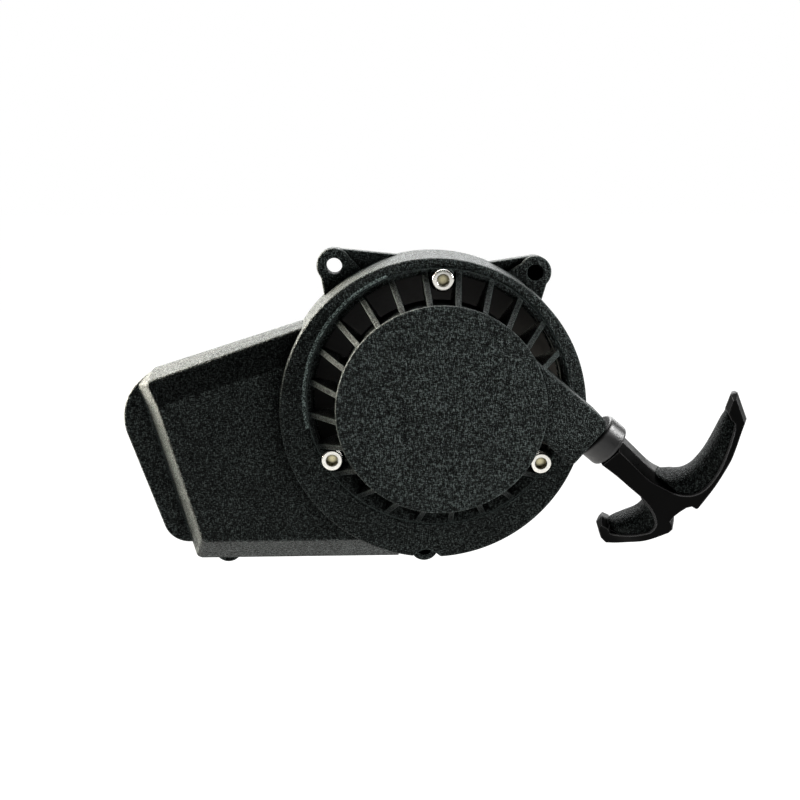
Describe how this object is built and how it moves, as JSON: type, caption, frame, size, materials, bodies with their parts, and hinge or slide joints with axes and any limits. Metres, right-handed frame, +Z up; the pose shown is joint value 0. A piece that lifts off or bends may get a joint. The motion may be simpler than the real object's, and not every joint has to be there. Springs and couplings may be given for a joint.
{
  "type": "recoil starter",
  "caption": "Pull starter for a small two-stroke engine: ribbed round starter housing with rope and T-handle, screwed to a black side cover with mounting lugs.",
  "frame": {"origin": "where the starter's axis meets the mounting plane, the plane of the side cover's rear rim", "axes": "+X right across the cover towards the handle, +Y into the engine, +Z up"},
  "size_m": [0.2503, 0.058, 0.1377],
  "materials": {
    "moulded_black": "fine wrinkle-textured black moulding",
    "gloss_black": "smooth glossy black",
    "grip_black": "satin black with grained panels",
    "bright_zinc": "bright zinc plate",
    "brass": "plain turned brass",
    "sheet_steel": "pressed sheet steel",
    "spring_steel": "blued spring steel",
    "reel_nylon": "plain dark nylon",
    "black_cord": "braided nylon cord"
  },
  "bodies": {
    "casing": {"side_cover": "moulded_black", "starter_housing": "moulded_black", "cover_screw_1": "bright_zinc", "cover_screw_2": "bright_zinc", "cover_screw_3": "bright_zinc", "screw_insert_1": "brass", "screw_insert_2": "brass", "screw_insert_3": "brass", "rope_guide": "gloss_black", "recoil_spring": "spring_steel", "brake_spring": "spring_steel", "centre_washer": "bright_zinc", "centre_screw": "bright_zinc"},
    "reel": {"reel": "reel_nylon", "rope_wound": "black_cord", "rope_reel_knot": "black_cord", "pawl_pin_1": "bright_zinc", "pawl_pin_2": "bright_zinc"},
    "guide_plate": {"guide_plate": "sheet_steel"},
    "pawl_1": {"pawl_1": "sheet_steel"},
    "pawl_2": {"pawl_2": "sheet_steel"},
    "rope_end": {"rope_lead": "black_cord", "knot_washer": "bright_zinc", "rope_handle_knot": "black_cord"},
    "handle": {"handle_grip": "grip_black"}
  },
  "joints": [
    {"name": "handle_pull", "type": "slide", "parent": "casing", "child": "rope_end", "axis": [0.7627, 0, -0.6468], "range_m": [0, 0.6], "stiffness_N_per_m": 20, "springref_m": -0.4},
    {"name": "handle_twist", "type": "hinge", "parent": "rope_end", "child": "handle", "pos_m": [0.02018, -0.037, 0.0238], "axis": [0.7627, 0, -0.6468], "range_deg": [-90, 90]},
    {"name": "reel_spin", "type": "hinge", "parent": "casing", "child": "reel", "pos_m": [0, -0.037, 0], "axis": [0, 1, 0], "range_deg": [0, 1360]},
    {"name": "guide_plate_turn", "type": "hinge", "parent": "reel", "child": "guide_plate", "pos_m": [0, -0.026, 0], "axis": [0, -1, 0], "range_deg": [0, 22]},
    {"name": "pawl_1_swing", "type": "hinge", "parent": "reel", "child": "pawl_1", "pos_m": [0.02, -0.03, 0], "axis": [0, -1, 0], "range_deg": [0, 28]},
    {"name": "pawl_2_swing", "type": "hinge", "parent": "reel", "child": "pawl_2", "pos_m": [-0.02, -0.03, 0], "axis": [0, -1, 0], "range_deg": [0, 28]}
  ],
  "couplings": [
    {"joint": "reel_spin", "follows": "handle_pull", "rad_per_m": 39.43},
    {"joint": "pawl_1_swing", "follows": "guide_plate_turn", "ratio": 1.2727},
    {"joint": "pawl_2_swing", "follows": "guide_plate_turn", "ratio": 1.2727}
  ]
}
